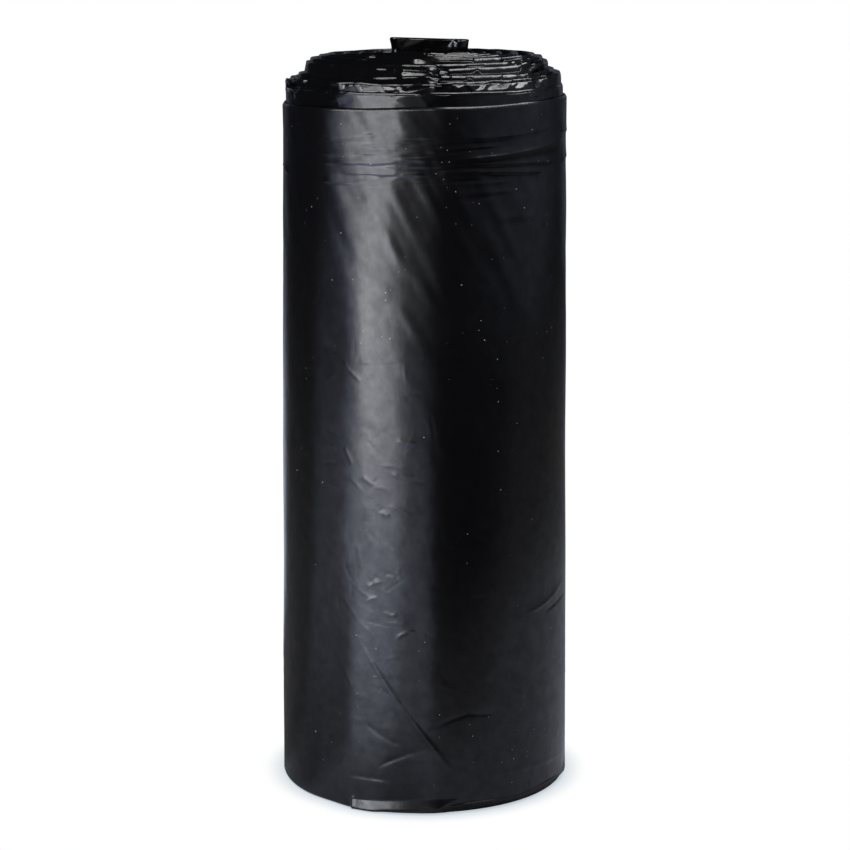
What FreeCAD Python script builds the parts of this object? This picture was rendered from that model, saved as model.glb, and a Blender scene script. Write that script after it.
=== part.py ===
import FreeCAD, Part
import Sketcher
import math
import os
from FreeCAD import Placement, Rotation, Vector

# A roll of black bin bags, wound without a core and standing on its end.
# The folded web of bags is wound into bundles of turns. The top end has telescoped, so that each
# turn stands higher than the one outside it, and the innermost fold sticks up in the middle.
# The origin is on the floor, on the roll's axis, with +Z up and the front of the roll towards -Y.

NODE = "bag_roll"

# Driving sizes, in millimetres and degrees
SIZES = [
    ("rim_radius", 42.8, "outer wrap, radius at its top rim"),
    ("foot_radius", 44.8, "outer wrap, radius at its foot"),
    ("rim_height", 211.5, "outer wrap, height of its rim above the floor"),
    ("rim_band", 12.0, "straight band below the rim, above the taper"),
    ("rim_lean", 1.4, "slope of the rim in degrees, higher on the right"),
    ("foot_lift", 1.0, "outer wrap, lower edge above the floor"),
    ("foot_slope", 1.2, "bevel of the lower edge, where the film turns under"),
    ("foot_hollow", 9.0, "how far the middle of the underside is drawn up"),
    ("wrap_wall", 1.3, "outer wrap, thickness at the rim"),
    ("wrap_gap", 0.7, "gap between the outer wrap and the first turn"),
    ("turn_wall", 1.5, "one bundle of turns, thickness"),
    ("dome_rise", 14.0, "how far the inner turns stand above the rim"),
    ("settle_turns", 2.4, "turns over which most of that rise happens"),
    ("gap_depth", 3.4, "depth of the gap behind each bundle"),
    ("fold_length", 24.5, "innermost fold, length from left to right"),
    ("fold_depth", 5.0, "innermost fold, depth from front to back"),
    ("fold_wall", 1.3, "innermost fold, thickness of its wall"),
    ("fold_rise", 5.0, "innermost fold, height above the inner turns"),
    ("fold_lean", 0.8, "slope of the innermost fold's top in degrees"),
    ("fold_clear", 0.6, "gap between the innermost fold and the turns"),
    ("tail_proud", 0.6, "free edge of the web, how far it stands off"),
    ("tail_sweep", 70.0, "angle in degrees over which the last turn lifts"),
    ("tail_angle", 118.0, "where the free edge is, in degrees from the right"),
]

ROUND_TURNS = 5  # turns that are wound round
OVAL_TURNS = 5  # turns that flatten towards the innermost fold
TURNS = ROUND_TURNS + OVAL_TURNS
FOOT_TURNS = 2  # turns that reach the floor; the ones inside them are drawn up
SEAMS = 2 * TURNS  # the web crosses the middle plane at the back, then at the front, and so on
UP = Vector(0, 0, 1)
BAND_FOOT = "sizes.rim_height - sizes.rim_band"  # inside the wound film, where the edges start

doc = FreeCAD.newDocument("bin_bag_roll")


def make_sheet():
    """The spreadsheet of driving sizes."""
    sheet = doc.addObject("Spreadsheet::Sheet", "sizes")
    for row, (alias, value, note) in enumerate(SIZES, start=1):
        sheet.set(f"A{row}", alias)
        sheet.set(f"B{row}", str(value))
        sheet.setAlias(f"B{row}", alias)
        sheet.set(f"C{row}", note)
    doc.recompute()


def derive(name, expression):
    """A size that follows from the driving ones, kept as a bound property of the winding."""
    winding.addProperty("App::PropertyFloat", name, "Winding")
    winding.setExpression(name, expression)


def make_winding():
    """Works out where the web crosses the middle plane, and how high its edge is there."""
    derive("start", "sizes.rim_radius - sizes.wrap_wall - sizes.wrap_gap")
    derive("end_across", "sizes.fold_length / 2 + sizes.fold_clear + sizes.turn_wall")
    derive("end_deep", "sizes.fold_depth / 2 + sizes.fold_clear + sizes.turn_wall")
    derive("pitch", f"(start - end_across) / {TURNS}")
    derive("round_end", f"start - {ROUND_TURNS} * pitch")
    derive("pitch_deep", f"(round_end - end_deep) / {OVAL_TURNS}")
    for seam in range(SEAMS + 1):
        turns = seam / 2
        if turns <= ROUND_TURNS:
            derive(f"seam_{seam}", f"start - {turns} * pitch")
        else:
            derive(f"seam_{seam}", f"round_end - {turns - ROUND_TURNS} * pitch_deep")
        rise = f"sizes.dome_rise * (1 - exp(-{turns + 0.5} / sizes.settle_turns))"
        derive(f"level_{seam}", f"sizes.rim_height + {rise}")
    doc.recompute()


def size(alias):
    """The present value of one cell of the sheet."""
    return float(doc.sizes.get(alias))


def derived(name):
    """The present value of one derived size."""
    return getattr(winding, name)


def origin_plane(role):
    """One of the body's own origin planes."""
    return next(f for f in body.Origin.OriginFeatures if f.Role == role)


def new_sketch(name, role):
    """An empty sketch on one of the body's origin planes."""
    sketch = body.newObject("Sketcher::SketchObject", name)
    sketch.AttachmentSupport = [(origin_plane(role), "")]
    sketch.MapMode = "FlatFace"
    return sketch


def drive(sketch, kind, *items, by):
    """Adds a dimension and binds it to an expression. The last item is its value at first."""
    index = sketch.addConstraint(Sketcher.Constraint(kind, *items))
    sketch.setExpression(f"Constraints[{index}]", by)


def join_ends(sketch, chain):
    """Joins each piece's end to the next one's start. chain holds (piece, start, end) triples."""
    for (piece, _, end), (after, start, _) in zip(chain, chain[1:] + chain[:1]):
        sketch.addConstraint(Sketcher.Constraint("Coincident", piece, end, after, start))


def new_feature(kind, name, **settings):
    """Adds a feature to the body, sets it up and makes it the tip."""
    feature = body.newObject(kind, name)
    for key, value in settings.items():
        setattr(feature, key, value)
    doc.recompute()
    return feature


def sloping_plane(name, height, slope_axis, angle):
    """A plane across the roll at a height on the axis, tipped about X or Y by an angle."""
    plane = body.newObject("PartDesign::Plane", name)
    plane.AttachmentSupport = [(origin_plane("XY_Plane"), "")]
    plane.MapMode = "FlatFace"
    plane.AttachmentOffset = Placement(Vector(0, 0, 1), Rotation(slope_axis, 1))
    plane.setExpression("AttachmentOffset.Base.z", height)
    plane.setExpression("AttachmentOffset.Rotation.Angle", angle)
    doc.recompute()
    return plane


def make_core():
    """The wound film between its two ends, turned from one profile."""
    sketch = new_sketch("core_profile", "XZ_Plane")
    foot, lift, low = size("foot_radius"), size("foot_lift"), size("foot_slope")
    rim, band, top = size("rim_radius"), size("rim_band"), size("rim_height")
    depth = size("gap_depth")
    radii = [derived(f"seam_{2 * turn}") for turn in (0, 2, ROUND_TURNS)]
    levels = [derived(f"level_{2 * turn}") for turn in (0, 2, ROUND_TURNS)]
    hollow = Vector(0, lift + size("foot_hollow"), 0)
    points = [
        hollow,
        Vector(derived(f"seam_{2 * FOOT_TURNS}"), lift, 0),
        Vector(foot - low, lift, 0),
        Vector(foot, lift + low, 0),
        Vector(rim, top - band, 0),
        Vector(rim, top - depth, 0),
        Vector(radii[0], top - depth, 0),
        Vector(radii[1], levels[1] - depth, 0),
        Vector(radii[2], levels[2] - depth, 0),
        Vector(0, levels[2] - depth, 0),
    ]
    lines = [
        sketch.addGeometry(Part.LineSegment(a, b)) for a, b in zip(points, points[1:] + points[:1])
    ]
    vault, sole, bevel, taper, straight, ledge, steep, gentle, roof, axis = lines
    join_ends(sketch, [(line, 1, 2) for line in lines])
    sketch.addConstraint(Sketcher.Constraint("PointOnObject", vault, 1, -2))
    for level in (sole, ledge, roof):
        sketch.addConstraint(Sketcher.Constraint("Horizontal", level))
    for upright in (straight, axis):
        sketch.addConstraint(Sketcher.Constraint("Vertical", upright))
    raised = "sizes.foot_lift + sizes.foot_hollow"
    drive(sketch, "DistanceY", -1, 1, vault, 1, hollow.y, by=raised)
    inner_foot = f"winding.seam_{2 * FOOT_TURNS}"
    drive(sketch, "DistanceX", -1, 1, vault, 2, points[1].x, by=inner_foot)
    drive(sketch, "DistanceY", -1, 1, vault, 2, lift, by="sizes.foot_lift")
    drive(sketch, "DistanceX", -1, 1, sole, 2, foot - low, by="sizes.foot_radius - sizes.foot_slope")
    drive(sketch, "DistanceX", -1, 1, bevel, 2, foot, by="sizes.foot_radius")
    drive(sketch, "DistanceY", -1, 1, bevel, 2, lift + low, by="sizes.foot_lift + sizes.foot_slope")
    drive(sketch, "DistanceX", -1, 1, taper, 2, rim, by="sizes.rim_radius")
    drive(sketch, "DistanceY", -1, 1, taper, 2, top - band, by=BAND_FOOT)
    drive(sketch, "DistanceY", -1, 1, straight, 2, top - depth, by="sizes.rim_height - sizes.gap_depth")
    drive(sketch, "DistanceX", -1, 1, ledge, 2, radii[0], by="winding.start")
    drive(sketch, "DistanceX", -1, 1, steep, 2, radii[1], by="winding.seam_4")
    drive(sketch, "DistanceY", -1, 1, steep, 2, levels[1] - depth, by="winding.level_4 - sizes.gap_depth")
    drive(sketch, "DistanceX", -1, 1, gentle, 2, radii[2], by="winding.round_end")
    inner_floor = f"winding.level_{2 * ROUND_TURNS} - sizes.gap_depth"
    drive(sketch, "DistanceY", -1, 1, gentle, 2, levels[2] - depth, by=inner_floor)
    doc.recompute()
    new_feature(
        "PartDesign::Revolution",
        "wound_core",
        Profile=sketch,
        ReferenceAxis=(sketch, ["V_Axis"]),
        Angle=360.0,
    )


def make_wrap_rim():
    """The outer wrap's own edge: a ring whose top leans, higher on the right."""
    sketch = new_sketch("wrap_ring", "XY_Plane")
    outer_radius, wall = size("rim_radius"), size("wrap_wall")
    outer = sketch.addGeometry(Part.Circle(Vector(), UP, outer_radius))
    inner = sketch.addGeometry(Part.Circle(Vector(), UP, outer_radius - wall))
    for ring in (outer, inner):
        sketch.addConstraint(Sketcher.Constraint("Coincident", ring, 3, -1, 1))
    drive(sketch, "Radius", outer, outer_radius, by="sizes.rim_radius")
    drive(sketch, "Radius", inner, outer_radius - wall, by="sizes.rim_radius - sizes.wrap_wall")
    sketch.setExpression("AttachmentOffset.Base.z", BAND_FOOT)
    doc.recompute()
    lean = sloping_plane("rim_plane", "sizes.rim_height", Vector(0, -1, 0), "sizes.rim_lean * 1deg")
    new_feature(
        "PartDesign::Pad", "wrap_rim", Profile=sketch, Type="UpToFace", UpToFace=(lean, [""])
    )


def turn_section(seam):
    """The section of the web from one seam to the next: half a turn, round or flattened."""
    sketch = new_sketch(f"web_section_{seam}", "XY_Plane")
    side = -1 if seam % 2 == 0 else 1  # even halves pass on the left, odd ones on the right
    back_seam, front_seam = (seam, seam + 1) if seam % 2 == 0 else (seam + 1, seam)
    back, front = derived(f"seam_{back_seam}"), derived(f"seam_{front_seam}")
    across = derived("start") - (seam + 0.5) / 2 * derived("pitch")
    middle, outer, wall = (back - front) / 2, (back + front) / 2, size("turn_wall")
    flat = across - outer if seam / 2 >= ROUND_TURNS else 0
    centre = Vector(side * flat, middle, 0)
    turned = (math.pi / 2, 3 * math.pi / 2) if side < 0 else (-math.pi / 2, math.pi / 2)
    arcs = [
        sketch.addGeometry(Part.ArcOfCircle(Part.Circle(centre, UP, radius), *turned))
        for radius in (outer, outer - wall)
    ]
    ends = {}  # the point of each arc at the back and at the front
    back_end, front_end = (1, 2) if side < 0 else (2, 1)
    for arc in arcs:
        ends[arc] = {"back": (arc, back_end), "front": (arc, front_end)}
    sketch.addConstraint(Sketcher.Constraint("Coincident", arcs[0], 3, arcs[1], 3))
    for place, direction in (("back", 1), ("front", -1)):
        tips = []
        for arc, radius in zip(arcs, (outer, outer - wall)):
            arc_tip = ends[arc][place]
            level = middle + direction * radius
            if flat > 0:
                flat_line = Part.LineSegment(Vector(centre.x, level, 0), Vector(0, level, 0))
                line = sketch.addGeometry(flat_line)
                sketch.addConstraint(Sketcher.Constraint("Coincident", line, 1, *arc_tip))
                sketch.addConstraint(Sketcher.Constraint("Horizontal", line))
                arc_tip = (line, 2)
            else:
                level_with_centre = Sketcher.Constraint("Vertical", arc, 3, *arc_tip)
                sketch.addConstraint(level_with_centre)
            tips.append(arc_tip)
        if flat > 0:
            for arc in arcs:
                sketch.addConstraint(Sketcher.Constraint("Vertical", arc, 3, *ends[arc][place]))
        heights = [middle + direction * radius for radius in (outer, outer - wall)]
        closing = Part.LineSegment(Vector(0, heights[0], 0), Vector(0, heights[1], 0))
        end_line = sketch.addGeometry(closing)
        for tip, number in zip(tips, (1, 2)):
            sketch.addConstraint(Sketcher.Constraint("Coincident", *tip, end_line, number))
        if flat > 0:
            for number in (1, 2):
                sketch.addConstraint(Sketcher.Constraint("PointOnObject", end_line, number, -2))
    back_by, front_by = f"winding.seam_{back_seam}", f"winding.seam_{front_seam}"
    radius_by = f"({back_by} + {front_by}) / 2"
    drive(sketch, "Radius", arcs[0], outer, by=radius_by)
    drive(sketch, "Radius", arcs[1], outer - wall, by=f"{radius_by} - sizes.turn_wall")
    # the centre lies behind the middle for even halves and in front of it for odd ones
    if side < 0:
        drive(sketch, "DistanceY", -1, 1, arcs[0], 3, middle, by=f"({back_by} - {front_by}) / 2")
    else:
        drive(sketch, "DistanceY", arcs[0], 3, -1, 1, -middle, by=f"({front_by} - {back_by}) / 2")
    if flat > 0:
        reach = f"winding.start - {(seam + 0.5) / 2} * winding.pitch - {radius_by}"
        ordered = (arcs[0], 3, -1, 1) if side < 0 else (-1, 1, arcs[0], 3)
        drive(sketch, "DistanceX", *ordered, flat, by=reach)
    else:
        sketch.addConstraint(Sketcher.Constraint("PointOnObject", arcs[0], 3, -2))
    doc.recompute()
    return sketch


def make_turn(seam):
    """Half a turn of the web. Its top edge rises towards the next half."""
    sketch = turn_section(seam)
    if seam >= 2 * FOOT_TURNS:
        sketch.setExpression("AttachmentOffset.Base.z", BAND_FOOT)
    back_seam, front_seam = (seam, seam + 1) if seam % 2 == 0 else (seam + 1, seam)
    back, front = f"winding.seam_{back_seam}", f"winding.seam_{front_seam}"
    slope = f"(winding.level_{back_seam} - winding.level_{front_seam}) / ({back} + {front})"
    plane = sloping_plane(
        f"edge_plane_{seam}",
        f"winding.level_{front_seam} + {front} * {slope}",
        Vector(1, 0, 0),
        f"atan({slope})",
    )
    new_feature(
        "PartDesign::Pad",
        f"half_turn_{seam}",
        Profile=sketch,
        Type="UpToFace",
        UpToFace=(plane, [""]),
    )


def make_inner_fold():
    """The innermost fold of the web: a flattened loop that sticks up in the middle."""
    sketch = new_sketch("fold_section", "XY_Plane")
    sketch.setExpression("AttachmentOffset.Base.z", BAND_FOOT)
    outer = size("fold_depth") / 2
    half = size("fold_length") / 2 - outer
    for radius, by in (
        (outer, "sizes.fold_depth / 2"),
        (outer - size("fold_wall"), "sizes.fold_depth / 2 - sizes.fold_wall"),
    ):
        left_circle = Part.Circle(Vector(-half, 0, 0), UP, radius)
        right_circle = Part.Circle(Vector(half, 0, 0), UP, radius)
        left = sketch.addGeometry(Part.ArcOfCircle(left_circle, math.pi / 2, 3 * math.pi / 2))
        right = sketch.addGeometry(Part.ArcOfCircle(right_circle, -math.pi / 2, math.pi / 2))
        front = Part.LineSegment(Vector(-half, -radius, 0), Vector(half, -radius, 0))
        back = Part.LineSegment(Vector(half, radius, 0), Vector(-half, radius, 0))
        near = sketch.addGeometry(front)
        far = sketch.addGeometry(back)
        for end_of, start_of in ((left, near), (near, right), (right, far), (far, left)):
            sketch.addConstraint(Sketcher.Constraint("Tangent", end_of, 2, start_of, 1))
        sketch.addConstraint(Sketcher.Constraint("Horizontal", near))
        sketch.addConstraint(Sketcher.Constraint("Symmetric", left, 3, right, 3, -1, 1))
        drive(sketch, "Radius", right, radius, by=by)
        reach = "(sizes.fold_length - sizes.fold_depth) / 2"
        drive(sketch, "DistanceX", -1, 1, right, 3, half, by=reach)
    doc.recompute()
    top = sloping_plane(
        "fold_plane",
        f"winding.level_{SEAMS} + sizes.fold_rise",
        Vector(0, 1, 0),
        "sizes.fold_lean * 1deg",
    )
    new_feature(
        "PartDesign::Pad", "inner_fold", Profile=sketch, Type="UpToFace", UpToFace=(top, [""])
    )


def tail_section(name, height, radius_name):
    """The section of the last turn where it lifts off towards the free edge, at one height."""
    sketch = new_sketch(name, "XY_Plane")
    radius, proud, sweep = size(radius_name), size("tail_proud"), math.radians(size("tail_sweep"))
    root = size("wrap_wall") / 2
    lift_end = Vector(radius, 0, 0)
    lift_root = Vector(radius - root, 0, 0)
    toward = Vector(math.cos(sweep), -math.sin(sweep), 0)
    free_end = toward * (radius + proud)
    free_root = toward * (radius - root)
    spread = (radius + proud) ** 2 - radius**2
    shift = spread / (2 * (radius - (radius + proud) * math.cos(sweep)))
    centre = Vector(-shift, 0, 0)
    start = math.atan2(free_end.y, free_end.x + shift)
    skin_arc = Part.ArcOfCircle(Part.Circle(centre, UP, radius + shift), start, 0)
    root_arc = Part.ArcOfCircle(Part.Circle(Vector(), UP, radius - root), -sweep, 0)
    skin = sketch.addGeometry(skin_arc)
    closing = sketch.addGeometry(Part.LineSegment(lift_end, lift_root))
    inside = sketch.addGeometry(root_arc)
    edge = sketch.addGeometry(Part.LineSegment(free_root, free_end))
    for first, second in (
        ((skin, 2), (closing, 1)),
        ((closing, 2), (inside, 2)),
        ((inside, 1), (edge, 1)),
        ((edge, 2), (skin, 1)),
    ):
        sketch.addConstraint(Sketcher.Constraint("Coincident", *first, *second))
    sketch.addConstraint(Sketcher.Constraint("Coincident", inside, 3, -1, 1))
    for point in ((skin, 3), (closing, 1), (closing, 2)):
        sketch.addConstraint(Sketcher.Constraint("PointOnObject", *point, -1))
    wrap = f"sizes.{radius_name}"
    drive(sketch, "DistanceX", -1, 1, closing, 1, radius, by=wrap)
    inward = f"({wrap} - sizes.wrap_wall / 2)"
    drive(sketch, "Radius", inside, radius - root, by=inward)
    turn = "sizes.tail_sweep * 1deg"
    outside = f"({wrap} + sizes.tail_proud)"
    for kind, items, by, first in (
        ("DistanceX", (-1, 1, edge, 2), f"{outside} * cos({turn})", free_end.x),
        ("DistanceY", (edge, 2, -1, 1), f"{outside} * sin({turn})", -free_end.y),
        ("DistanceY", (edge, 1, -1, 1), f"{inward} * sin({turn})", -free_root.y),
    ):
        drive(sketch, kind, *items, first, by=by)
    sketch.AttachmentOffset = Placement(Vector(0, 0, 1), Rotation(UP, 1))
    sketch.setExpression("AttachmentOffset.Base.z", height)
    turned = "(sizes.tail_angle + sizes.tail_sweep) * 1deg"
    sketch.setExpression("AttachmentOffset.Rotation.Angle", turned)
    doc.recompute()
    return sketch


def make_tail():
    """The web's free edge, a thin upright step round the back of the roll."""
    foot = tail_section("tail_at_foot", "sizes.foot_lift + sizes.foot_slope", "foot_radius")
    band = tail_section("tail_at_band", BAND_FOOT, "rim_radius")
    new_feature("PartDesign::AdditiveLoft", "last_turn", Profile=foot, Sections=[band], Ruled=True)
    rim_plane = doc.getObject("rim_plane")
    rim_section = tail_section("tail_at_rim", BAND_FOOT, "rim_radius")
    new_feature(
        "PartDesign::Pad",
        "last_turn_rim",
        Profile=rim_section,
        Type="UpToFace",
        UpToFace=(rim_plane, [""]),
    )


make_sheet()
winding = doc.addObject("App::VarSet", "winding")
make_winding()
body = doc.addObject("PartDesign::Body", NODE)
body.Label = NODE
for seam in range(SEAMS):
    make_turn(seam)
make_inner_fold()
make_core()
make_wrap_rim()
make_tail()
doc.recompute()

for item in doc.Objects:
    if "Invalid" in item.State or "Error" in item.State:
        raise RuntimeError(f"{item.Name} failed: {item.State} {item.getStatusString()}")
shape = body.Shape
if shape.isNull() or not shape.isValid() or len(shape.Solids) != 1:
    raise RuntimeError("the roll isn't one valid solid")
os.makedirs("parts", exist_ok=True)
shape.exportStep(f"parts/{NODE}.step")
print(NODE, len(shape.Solids), len(shape.Faces), round(shape.Volume))
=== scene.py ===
import math
import bpy
import numpy as np
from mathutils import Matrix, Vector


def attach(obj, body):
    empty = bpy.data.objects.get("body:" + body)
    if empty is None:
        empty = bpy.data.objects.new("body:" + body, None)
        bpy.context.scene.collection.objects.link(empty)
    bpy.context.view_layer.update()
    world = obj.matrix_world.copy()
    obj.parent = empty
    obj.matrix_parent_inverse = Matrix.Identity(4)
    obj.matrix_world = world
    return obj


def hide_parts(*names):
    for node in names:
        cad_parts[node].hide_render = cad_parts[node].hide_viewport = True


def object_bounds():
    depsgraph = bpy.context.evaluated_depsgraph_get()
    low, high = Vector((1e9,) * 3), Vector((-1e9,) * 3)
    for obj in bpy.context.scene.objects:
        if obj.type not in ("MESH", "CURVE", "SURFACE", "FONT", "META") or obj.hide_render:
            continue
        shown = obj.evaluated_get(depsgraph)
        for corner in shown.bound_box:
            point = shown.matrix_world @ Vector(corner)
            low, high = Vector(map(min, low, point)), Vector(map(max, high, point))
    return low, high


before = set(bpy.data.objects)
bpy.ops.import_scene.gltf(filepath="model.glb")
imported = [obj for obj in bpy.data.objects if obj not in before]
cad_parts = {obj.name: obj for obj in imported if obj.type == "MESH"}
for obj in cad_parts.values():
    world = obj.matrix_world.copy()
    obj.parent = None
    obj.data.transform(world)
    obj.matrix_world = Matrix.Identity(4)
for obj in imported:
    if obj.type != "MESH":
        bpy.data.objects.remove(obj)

cadLow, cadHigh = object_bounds()
millimetre = 0.001

# The roll itself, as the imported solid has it
roll = {
    "footRadius": (cadHigh.y - cadLow.y) / 2 / millimetre,
    "rimRadius": 42.8,
    "rimHeight": 211.5,
    "bandHeight": 12.0,  # the straight part below the rim, above the taper
    "rimLean": 1.4,  # degrees: the rim is higher on the right
    "turns": 10,
}
print("packed roll loaded, height in mm:", round(cadHigh.z / millimetre, 1))


# Random and crumpled fields, all between -1 and 1
latticeSize = 97


def latticeOf(seed):
    return np.random.default_rng(seed).uniform(-1.0, 1.0, (latticeSize, latticeSize))


def cornersOf(u, v, seed, around):
    table = latticeOf(seed)
    i = np.floor(u).astype(int)
    j = np.floor(v).astype(int)
    period = around or latticeSize

    def corner(di, dj):
        return table[((i + di) % period) % latticeSize, (j + dj) % latticeSize]

    return u - i, v - j, corner(0, 0), corner(1, 0), corner(0, 1), corner(1, 1)


def smoothNoise(u, v, seed, around=0):
    a, b, low, right, up, far = cornersOf(u, v, seed, around)
    a = a * a * (3 - 2 * a)
    b = b * b * (3 - 2 * b)
    return (low * (1 - a) + right * a) * (1 - b) + (up * (1 - a) + far * a) * b


def facetNoise(u, v, seed, around=0):
    # flat triangles between random heights, as crumpled film has
    a, b, low, right, up, far = cornersOf(u, v, seed, around)
    lower = low + (right - low) * a + (up - low) * b
    upper = far + (up - far) * (1 - a) + (right - far) * (1 - b)
    return np.where(a + b < 1, lower, upper)


def ease(x, start, end):
    # 0 before start, 1 after end, smooth between
    t = np.clip((x - start) / (end - start), 0.0, 1.0)
    return t * t * (3 - 2 * t)


def rowOf(x, y, height):
    return np.stack([x, y, height], axis=-1)


def tableAt(table, place):
    return np.interp(place, [pair[0] for pair in table], [pair[1] for pair in table])


def crease(startAngle, startHeight, endAngle, endHeight, rise, gentle, **more):
    # gentle is the width of the crease's gentle side. More values are: steep, the width of its other
    # side, bow, how far its middle bends aside, flip, and the turn that it lies on.
    ends = {"from": (startAngle, startHeight), "to": (endAngle, endHeight)}
    return {**ends, "rise": rise, "gentle": gentle, **more}


def creaseHeight(across, height, line):
    # How far a crease stands out: steep on one side, fading away on the other.
    # across is the distance round the roll, so the angles of the line are turned into one.
    perDegree = math.radians(1) * roll["footRadius"]
    startX, startY = line["from"][0] * perDegree, line["from"][1]
    runX, runY = line["to"][0] * perDegree - startX, line["to"][1] - startY
    length = math.hypot(runX, runY)
    along = ((across - startX) * runX + (height - startY) * runY) / length**2
    off = ((height - startY) * runX - (across - startX) * runY) / length
    off = off - line.get("bow", 0.0) * 4 * along * (1 - along)
    off = -off if line.get("flip") else off  # a flipped crease has its steep side up, and catches the light
    steep, gentle = line.get("steep", 0.30), 0.75 * line["gentle"]
    profile = np.where(off > 0, np.exp(-np.abs(off) / gentle), np.exp(-np.abs(off) / steep))
    fade = ease(along, -0.02, 0.22) * (1 - ease(along, 0.78, 1.02))
    return line["rise"] * profile * fade


def addObject(name, data):
    made = bpy.data.objects.new(name, data)
    bpy.context.scene.collection.objects.link(made)
    return made


# Meshes from a grid of rows and columns
def gridPiece(name, rows, material, closeColumns=True):
    rowCount, columnCount, _ = rows.shape
    index = np.arange(rowCount * columnCount).reshape(rowCount, columnCount)
    index = np.vstack([index, index[:1]])
    if closeColumns:
        index = np.hstack([index, index[:, :1]])
    quads = np.stack([index[:-1, :-1], index[:-1, 1:], index[1:, 1:], index[1:, :-1]], axis=-1)
    faces = [tuple(q) for q in quads.reshape(-1, 4).tolist()]
    if not closeColumns:  # close its two ends
        faces.append(tuple(index[:-1, 0].tolist()))
        faces.append(tuple(reversed(index[:-1, -1].tolist())))
    mesh = bpy.data.meshes.new(name)
    mesh.from_pydata((rows.reshape(-1, 3) * millimetre).tolist(), [], faces)
    mesh.update()
    mesh.shade_smooth()
    mesh.materials.append(material)
    piece = addObject(name, mesh)
    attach(piece, "root")
    print(name, "made with", len(faces), "faces")
    return piece


# Effects that the films share
def newGroup(name, inputs, outputs):
    tree = bpy.data.node_groups.new(name, "ShaderNodeTree")
    for label, kind, value in inputs:
        socket = tree.interface.new_socket(name=label, in_out="INPUT", socket_type=kind)
        if value is not None:
            socket.default_value = value
    for label, kind in outputs:
        tree.interface.new_socket(name=label, in_out="OUTPUT", socket_type=kind)
    return tree, tree.nodes.new("NodeGroupInput"), tree.nodes.new("NodeGroupOutput")


def addNode(tree, kind, values=None, **settings):
    node = tree.nodes.new("ShaderNode" + kind)
    for key, value in settings.items():
        setattr(node, key, value)
    for label, value in (values or {}).items():
        node.inputs[label].default_value = value
    return node


def mathNode(tree, operation, first, second):
    node = addNode(tree, "Math", operation=operation)
    for socket, value in zip(node.inputs, (first, second)):
        if isinstance(value, (int, float)):
            socket.default_value = value
        else:
            tree.links.new(value, socket)
    return node.outputs[0]


def slopeNode(tree, value, start, end, least, most):
    # least before start, most after end, smooth between
    ends = {"From Min": start, "From Max": end, "To Min": least, "To Max": most}
    node = addNode(tree, "MapRange", ends, interpolation_type="SMOOTHSTEP")
    tree.links.new(value, node.inputs["Value"])
    return node.outputs["Result"]


def makeRippleGroup():
    # fine unevenness of thin film: broad soft dents and a finer grain, drawn out along the roll
    tree, entry, leave = newGroup(
        "filmRipple",
        [
            ("Vector", "NodeSocketVector", None),
            ("Dents", "NodeSocketFloat", 120.0),
            ("Grain", "NodeSocketFloat", 900.0),
            ("Grain Share", "NodeSocketFloat", 0.2),
        ],
        [("Height", "NodeSocketFloat")],
    )
    link = tree.links.new
    stretch = addNode(tree, "VectorMath", {1: (1.0, 1.0, 0.45)}, operation="MULTIPLY")
    link(entry.outputs["Vector"], stretch.inputs[0])
    dents = addNode(tree, "TexNoise", {"Detail": 2.0})
    grain = addNode(tree, "TexNoise", {"Detail": 3.0})
    link(stretch.outputs[0], dents.inputs["Vector"])
    link(entry.outputs["Vector"], grain.inputs["Vector"])
    link(entry.outputs["Dents"], dents.inputs["Scale"])
    link(entry.outputs["Grain"], grain.inputs["Scale"])
    share = mathNode(tree, "MULTIPLY", grain.outputs[0], entry.outputs["Grain Share"])
    link(mathNode(tree, "ADD", dents.outputs[0], share), leave.inputs["Height"])
    return tree


def makeDustGroup():
    # sparse specks of dust, no two cells alike
    tree, entry, leave = newGroup(
        "dustSpecks",
        [
            ("Vector", "NodeSocketVector", None),
            ("Scale", "NodeSocketFloat", 260.0),
            ("Amount", "NodeSocketFloat", 0.02),
            ("Size", "NodeSocketFloat", 0.12),
        ],
        [("Mask", "NodeSocketFloat")],
    )
    link = tree.links.new
    cells = addNode(tree, "TexVoronoi")
    link(entry.outputs["Vector"], cells.inputs["Vector"])
    link(entry.outputs["Scale"], cells.inputs["Scale"])
    parts = addNode(tree, "SeparateColor")
    link(cells.outputs["Color"], parts.inputs[0])
    drifts = addNode(tree, "TexNoise", {"Scale": 38.0})  # dust gathers in some places
    link(entry.outputs["Vector"], drifts.inputs["Vector"])
    gathered = slopeNode(tree, drifts.outputs[0], 0.42, 0.68, 0.15, 2.2)
    amount = mathNode(tree, "MULTIPLY", gathered, entry.outputs["Amount"])
    chosen = mathNode(tree, "LESS_THAN", parts.outputs[0], amount)
    size = mathNode(tree, "MULTIPLY", parts.outputs[1], entry.outputs["Size"])
    near = mathNode(tree, "LESS_THAN", cells.outputs["Distance"], size)
    link(mathNode(tree, "MULTIPLY", chosen, near), leave.inputs["Mask"])
    return tree


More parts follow.
